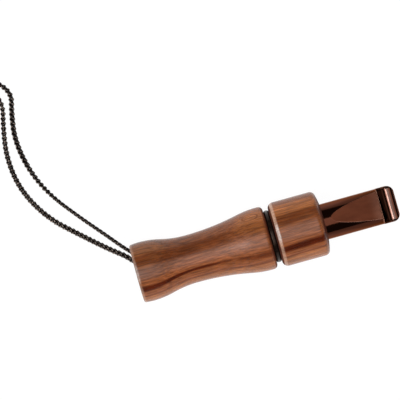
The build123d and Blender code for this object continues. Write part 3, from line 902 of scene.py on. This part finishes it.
@dataclass(frozen=True)
class FlatBraid:
    """Braid of four strands, two winding each way, pressed to an oval."""

    wide: float = 0.68
    thin: float = 0.40
    weave: float = 0.18
    strand_radius: float = 0.34
    pitch: float = 3.8
    step: float = 0.27
    sides: int = 6

    def wind(self, line: np.ndarray, upright: Triple, twist: Sequence[Span]) -> MeshStock:
        """Wind the strands along a line.

        Args:
            line: Points of the braid's middle.
            upright: Direction that the oval's thin way follows before it is twisted.
            twist: Lengths along the line, and the oval's twist there in degrees.

        Returns:
            Stock with one tube for each strand.
        """
        middle, lengths = even_steps(line, self.step)
        ahead = unit(np.gradient(middle, axis=0))
        flat = unit(np.cross(np.array(upright), ahead))
        proud = np.cross(ahead, flat)
        angle = np.radians(np.interp(lengths, *zip(*twist)))[:, None]
        side = flat * np.cos(angle) + proud * np.sin(angle)
        top = proud * np.cos(angle) - flat * np.sin(angle)
        stock = MeshStock()
        round_trip = 2 * np.pi * lengths / self.pitch
        for turn in Turn:
            over = 1 + turn.value * self.weave / self.thin * np.sin(2 * round_trip)
            lag = 0.0 if turn is Turn.RIGHT else 0.5
            for phase in (np.pi * lag, np.pi * (lag + 1)):
                around = turn.value * round_trip + phase
                out = self.wide * np.cos(around) * over
                rise = self.thin * np.sin(around) * over
                strand = middle + side * out[:, None] + top * rise[:, None]
                stock.tube(self.rings(strand, side), 2 * lengths / self.pitch + lag)
        return stock

    def rings(self, strand: np.ndarray, side: np.ndarray) -> np.ndarray:
        """Draw the rings of one strand square to its own run.

        Args:
            strand: Points of the strand's middle.
            side: Sideways direction at each point.

        Returns:
            Points of the rings, ring by ring.
        """
        ahead = unit(np.gradient(strand, axis=0))
        proud = unit(np.cross(ahead, side))
        level = np.cross(proud, ahead)
        rings = []
        for turn in range(self.sides):
            angle = 2 * np.pi * turn / self.sides
            rings.append(strand + self.strand_radius * (level * np.cos(angle) + proud * np.sin(angle)))
        return np.stack(rings, axis=1)


@dataclass
class NeckCord:
    """Braided cord that runs from a knot in the bell to a tied coil and back."""

    braid: FlatBraid = field(default_factory=FlatBraid)
    thread: WaxedBraid = field(default_factory=WaxedBraid)
    strap: WovenStrap = field(default_factory=WovenStrap)
    diameter: float = 1.7
    length: float = 880.0
    bell_exit: Triple = (0.0, 8.8, 12.5)
    inner_route: tuple[Triple, ...] = (
        (13.0, 2.05, 12.65),
        (6.6, 2.05, 12.65),
        (-1.8, 10.7, 12.45),
        (-7.7, 17.9, 10.0),
        (-15.3, 26.7, 4.8),
        (-24.6, 38.5, 1.5),
        (-29.7, 49.8, 0.85),
        (-31.9, 62.5, 0.85),
        (-30.3, 72.9, 0.85),
        (-28.0, 81.2, 1.15),
        (-35.3, 88.2, 4.2),
        (-41.933, 95.156, 8.5),
        (-48.230, 101.586, 8.5),
    )
    outer_route: tuple[Triple, ...] = (
        (13.0, -2.05, 12.65),
        (5.6, -2.05, 12.65),
        (-0.6, 6.6, 12.45),
        (-7.6, 11.9, 10.2),
        (-16.9, 20.1, 5.0),
        (-27.7, 30.0, 1.5),
        (-35.0, 43.2, 0.85),
        (-36.8, 56.5, 0.85),
        (-35.0, 68.0, 0.85),
        (-32.3, 78.2, 0.85),
        (-36.8, 83.5, 1.35),
        (-46.658, 82.846, 1.75),
        (-55.640, 82.281, 1.75),
    )
    route_steps: int = 12
    coil_middle: Span = (-58.1, 94.3)
    coil_outer: float = 12.15
    coil_inner: float = 6.554
    coil_layers: int = 4
    coil_top: float = 8.5
    coil_drop: float = 2.25
    coil_climb: float = 0.5
    coil_turns: float = 10.6367
    coil_entry: float = 44.4
    corners_in_turn: int = 16
    twist: tuple[Span, ...] = (
        (0.0, 90.0),
        (48.0, 90.0),
        (72.0, 25.0),
        (90.0, 25.0),
        (108.0, 60.0),
        (124.0, 0.0),
        (755.0, 0.0),
        (772.0, 55.0),
        (795.0, 25.0),
        (880.0, 20.0),
    )
    knot_middle: Triple = (15.1, 0.0, 12.65)
    knot_spread: float = 0.70
    knot_depth: float = 1.2
    knot_steps: int = 240
    tie_angle: float = 150.0
    tie_middle: Span = (9.352, 5.125)
    tie_inside: Span = (7.896, 9.05)
    tie_wraps: tuple[Span, Span] = ((-0.5, 0.5), (-0.06, 0.28))
    tie_square: float = 5.0
    tie_steps: int = 120
    tie_thickness: float = 0.52
    tie_width: float = 3.0

    def build(self) -> None:
        line = self.centre_line()
        cord = self.braid.wind(line, (0.0, 0.0, 1.0), self.twist).piece("neck_cord", self.thread)
        knot = self.knot()
        tie = self.tie()
        for piece, slot in ((cord, Slot.CORD), (knot, Slot.CORD), (tie, Slot.TIE)):
            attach(piece, "barrel")
            log.info("built %s", piece.name)
        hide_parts("lanyard_inner_leg", "lanyard_coil", "lanyard_outer_leg")
        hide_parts("lanyard_knot")
        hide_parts("lanyard_tie")

    def coil_corner(self, turn: float) -> Triple:
        """Find a corner of the lines that touch the coil from outside.

        Args:
            turn: Turns wound so far.

        Returns:
            Station, across and height of the corner.
        """
        last = self.coil_layers - 1
        wound_layer = (self.coil_turns - self.coil_climb * last) / self.coil_layers
        cycle = wound_layer + self.coil_climb
        layer = min(int(turn / cycle), last)
        within = turn - layer * cycle
        wound = min(within / wound_layer, 1.0)
        inward = wound if layer % 2 == 0 else 1.0 - wound
        radius = self.coil_outer + (self.coil_inner - self.coil_outer) * inward
        climb = max(0.0, (within - wound_layer) / self.coil_climb) if layer < last else 0.0
        eased = climb * climb * (3 - 2 * climb)
        angle = math.radians(self.coil_entry) + 2 * math.pi * turn
        reach = radius / math.cos(math.pi / self.corners_in_turn)
        return (
            self.coil_middle[0] + reach * math.cos(angle),
            self.coil_middle[1] + reach * math.sin(angle),
            self.coil_top - (layer + eased) * self.coil_drop,
        )

    def centre_line(self) -> np.ndarray:
        """Lay the cord's whole middle line as one smooth spline.

        Returns:
            Points along the line, in millimetres of the frame.
        """
        corners = round(self.coil_turns * self.corners_in_turn)
        turns = [(corner + 0.5) / corners * self.coil_turns for corner in range(corners)]
        route = [*self.inner_route, *(self.coil_corner(turn) for turn in turns), *self.outer_route[::-1]]
        curve = bpy.data.curves.new("cord_route", "CURVE")
        curve.dimensions = "3D"
        curve.resolution_u = self.route_steps
        spline = curve.splines.new("NURBS")
        spline.points.add(len(route) - 1)
        for point, corner in zip(spline.points, route):
            point.co = (*place(*corner), 1.0)
        spline.order_u = 3
        spline.use_endpoint_u = True
        holder = bpy.data.objects.new("cord_route", curve)
        drawn = bpy.data.meshes.new_from_object(holder)
        line = np.array([tuple(vertex.co) for vertex in drawn.vertices]) / MM
        bpy.data.objects.remove(holder)
        bpy.data.curves.remove(curve)
        bpy.data.meshes.remove(drawn)
        return line

    def knot(self) -> bpy.types.Object:
        """Tie the knot behind the pin as a closed overhand loop.

        Returns:
            The knot.
        """
        turn = np.linspace(0.0, 2 * np.pi, self.knot_steps)
        depth = -self.knot_depth * np.sin(3 * turn)
        across = self.knot_spread * (np.sin(turn) + 2 * np.sin(2 * turn))
        up = self.knot_spread * (np.cos(turn) - 2 * np.cos(2 * turn))
        middle = np.array(place(*self.knot_middle)) / MM
        line = np.stack([depth, across, up], axis=1) + middle
        return self.braid.wind(line, (1.0, 0.0, 0.0), [(0.0, 0.0)]).piece("cord_knot", self.thread)

    def tie(self) -> bpy.types.Object:
        """Wrap the strap round the coil's bundle, with its loose end on the outside.

        Returns:
            The tie.
        """
        bearing = math.radians(self.tie_angle)
        out = np.array([math.cos(bearing), math.sin(bearing), 0.0])
        rise = np.array([0.0, 0.0, 1.0])
        along = np.cross(rise, out)
        centre = np.array(place(*self.coil_middle, self.tie_middle[1])) / MM + out * self.tie_middle[0]
        stock = MeshStock()
        for wrap, (start, end) in enumerate(self.tie_wraps):
            turns = np.linspace(start, end, self.tie_steps) * 2 * np.pi
            ways = np.stack([np.cos(turns), np.sin(turns)], axis=1)
            reach = np.array(self.tie_inside) / 2 + wrap * self.tie_thickness
            inner = np.sign(ways) * np.abs(ways) ** (2 / self.tie_square) * reach
            ahead = unit(np.gradient(inner, axis=0))
            normal = np.stack([ahead[:, 1], -ahead[:, 0]], axis=1)
            rings = []
            for spread, height in self.strap_section():
                flat = inner + normal * height
                rings.append(centre + flat[:, :1] * out + flat[:, 1:] * rise + along * spread)
            stock.tube(np.stack(rings, axis=1), run_lengths(inner))
        return stock.piece("cord_tie", self.strap)

    def strap_section(self) -> list[Span]:
        """Draw the strap's cross-section, with rounded edges.

        Returns:
            Distances across the strap and through it.
        """
        half = self.tie_width / 2
        thick = self.tie_thickness
        soft = thick / 2
        edge = [(half - soft, 0.0), (half, soft * 0.5), (half, soft * 1.5), (half - soft, thick)]
        return [(soft - half, 0.0), *edge, *((-spread, height) for spread, height in edge[:0:-1])]


@dataclass
class WoodenCall:
    """Barrel and collar, turned from one stick so that the grain runs on across the joint."""

    wood: TurnedWood = field(default_factory=TurnedWood)
    rubber: BlackRubber = field(default_factory=BlackRubber)
    brass: DrawnBrass = field(default_factory=DrawnBrass)

    def build(self, nodes: Nodes) -> None:
        """Dress the wood, the rings and the cord's pin."""
        rings = ["joint_ring", "tenon_rings", "stem_ring", "stopper_ring"]
        dress(nodes, (self.wood, ["barrel", "collar"]), (self.rubber, rings), (self.brass, ["lanyard_pin"]))


@dataclass
class ReedUnit:
    """Tone board with its brass reed and the cork wedge that holds it."""

    board: MouldedPlastic = field(default_factory=MouldedPlastic)
    reed: DrawnBrass = field(default_factory=DrawnBrass)
    wedge: CutCork = field(default_factory=CutCork)

    def build(self, nodes: Nodes) -> None:
        """Dress the board, the reed and the wedge."""
        reed = ["reed_root", "reed_tongue"]
        dress(nodes, (self.board, ["tone_board"]), (self.reed, reed), (self.wedge, ["reed_wedge"]))


@dataclass
class Mouthpiece:
    """Stem with planed slopes, a groove and a lip."""

    resin: PolishedResin = field(default_factory=PolishedResin)

    def build(self, nodes: Nodes) -> None:
        """Dress the mouthpiece."""
        dress(nodes, (self.resin, ["mouthpiece"]))


@dataclass(frozen=True)
class PaleFloor:
    """White paper floor that stays white to the eye and in reflections, and keeps a faint shadow."""

    paper: Colour = (0.90, 0.90, 0.90)
    fibre_colour: Colour = (0.87, 0.87, 0.87)
    fibres: Grain = Grain((0.4, 0.4, 0.4), 3.0)
    fibre_limits: Span = (0.3, 0.7)
    roughness: float = 0.95
    glow: float = 0.95
    shadow_share: float = 0.10

    def material(self) -> bpy.types.Material:
        """Make the paper.

        Returns:
            Material of the floor and its rising edge.
        """
        bench = NodeBench("pale_floor")
        rays = bench.add("LightPath").outputs
        seen = bench.math("MAXIMUM", rays["Is Camera Ray"], rays["Is Glossy Ray"])
        seen = bench.math("MAXIMUM", seen, rays["Is Transmission Ray"])
        fibres = bench.ease(bench.noise(bench.place(), self.fibres), *self.fibre_limits)
        bench.set(Base_Color=bench.mix(fibres, self.fibre_colour, self.paper))
        bench.set(Roughness=self.roughness, Specular_IOR_Level=0.0)
        lit = bench.add("Emission", (1.0, 1.0, 1.0, 1.0), self.glow)
        faint = bench.add("BsdfDiffuse", (*(self.shadow_share,) * 3, 1.0))
        shown = bench.add("AddShader", lit.outputs[0], faint.outputs[0])
        both = bench.add("MixShader", seen, bench.surface.outputs[0], shown.outputs[0])
        bench.feed(bench.tree.nodes["Material Output"].inputs["Surface"], both.outputs[0])
        return bench.material


@dataclass(frozen=True)
class SoftLight:
    """One soft box, placed by the direction that it shines from."""

    name: str
    lean: Triple
    distance: float
    size: Span
    power: float
    lighting: bool = True
    mirrored: bool = True

    def hang(self, target: Vector) -> None:
        """Hang the soft box so that it faces a point.

        Args:
            target: Point that it faces.
        """
        lamp = bpy.data.lights.new(self.name, "AREA")
        lamp.shape = "RECTANGLE"
        lamp.size, lamp.size_y = self.size
        lamp.energy = self.power
        holder = bpy.data.objects.new(self.name, lamp)
        away = Vector(self.lean).normalized()
        holder.location = target + away * self.distance
        holder.rotation_euler = away.to_track_quat("Z", "Y").to_euler()
        holder.visible_camera = False
        holder.visible_diffuse = self.lighting
        holder.visible_glossy = self.mirrored
        bpy.context.scene.collection.objects.link(holder)


@dataclass
class Studio:
    """White floor, soft boxes and a camera that looks straight down on the call."""

    floor: PaleFloor = field(default_factory=PaleFloor)
    floor_radius: float = 2600.0
    floor_bend: float = 250.0
    bend_steps: int = 8
    floor_sides: int = 96
    edge_rise: float = 450.0
    view_middle: Span = (31.12, 20.93)
    view_turn: float = -15.56
    view_width: float = 154.0
    camera_distance: float = 1600.0
    camera_reach: float = 20000.0
    sensor_width: float = 36.0
    ambient: float = 0.08
    ambient_colour: Colour = (1.0, 0.98, 0.96)
    lit_station: float = 45.0
    lights: tuple[SoftLight, ...] = (
        SoftLight("key_lamp", (-0.41, -0.02, 0.91), 0.90, (0.22, 0.15), 1.25),
        SoftLight("top_box", (0.0, -0.085, 1.0), 0.90, (0.62, 0.80), 4.40, mirrored=False),
        SoftLight("near_fill", (0.0, -0.966, 0.26), 0.90, (0.70, 0.40), 2.5, mirrored=False),
        SoftLight("far_fill", (0.0, 0.966, 0.26), 0.90, (0.70, 0.40), 2.25, mirrored=False),
        SoftLight("edge_strip", (-0.56, -0.02, 0.83), 0.95, (1.20, 0.14), 4.6, lighting=False),
        SoftLight("gloss_sheet", (0.0, -0.085, 1.0), 0.95, (1.00, 0.845), 5.9, lighting=False),
        SoftLight("left_card", (-0.95, 0.0, 0.31), 0.90, (0.30, 0.30), 0.17, lighting=False),
    )

    def build(self) -> None:
        """Lay the floor, hang the lights and set the camera."""
        self.lay_floor()
        for light in self.lights:
            light.hang(place(self.lit_station, 0.0, AXIS_HEIGHT))
        self.set_world()
        self.set_camera()
        bpy.context.scene.view_settings.view_transform = "Standard"

    def lay_floor(self) -> None:
        """Lay a round floor whose edge curves up into a low wall."""
        bend = np.linspace(0.0, np.pi / 2, self.bend_steps + 1)
        reach = np.append(self.floor_radius - self.floor_bend * (1 - np.sin(bend)), self.floor_radius)
        height = np.append(self.floor_bend * (1 - np.cos(bend)), self.edge_rise)
        around = np.linspace(2 * np.pi, 0.0, self.floor_sides, endpoint=False)
        ways = (np.cos(around), np.sin(around), np.ones(self.floor_sides))
        rings = np.stack([np.outer(out, way) for out, way in zip((reach, reach, height), ways)], axis=2)
        stock = MeshStock()
        stock.tube(rings, reach, closed=1)
        stock.piece("floor", self.floor)

    def set_world(self) -> None:
        """Fill the room with a little even light."""
        world = bpy.data.worlds.new("studio")
        world.use_nodes = True
        sky = world.node_tree.nodes["Background"]
        sky.inputs["Color"].default_value = (*self.ambient_colour, 1.0)
        sky.inputs["Strength"].default_value = self.ambient
        bpy.context.scene.world = world

    def set_camera(self) -> None:
        """Hang the camera over the call, turned as the photograph is."""
        lens = bpy.data.cameras.new("camera")
        lens.sensor_width = self.sensor_width
        lens.lens = self.sensor_width * self.camera_distance / self.view_width
        lens.clip_end = self.camera_reach * MM
        camera = bpy.data.objects.new("camera", lens)
        camera.location = place(*self.view_middle, AXIS_HEIGHT + self.camera_distance)
        camera.rotation_euler = (0.0, 0.0, math.radians(self.view_turn))
        bpy.context.scene.collection.objects.link(camera)
        bpy.context.scene.camera = camera


def main() -> None:
    """Load the frame, dress every piece and light it."""
    logging.basicConfig(level=logging.INFO, format="%(message)s")
    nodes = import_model()["nodes"]
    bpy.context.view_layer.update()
    NeckCord().build()
    WoodenCall().build(nodes)
    ReedUnit().build(nodes)
    Mouthpiece().build(nodes)
    Studio().build()


if __name__ == "__main__":
    main()
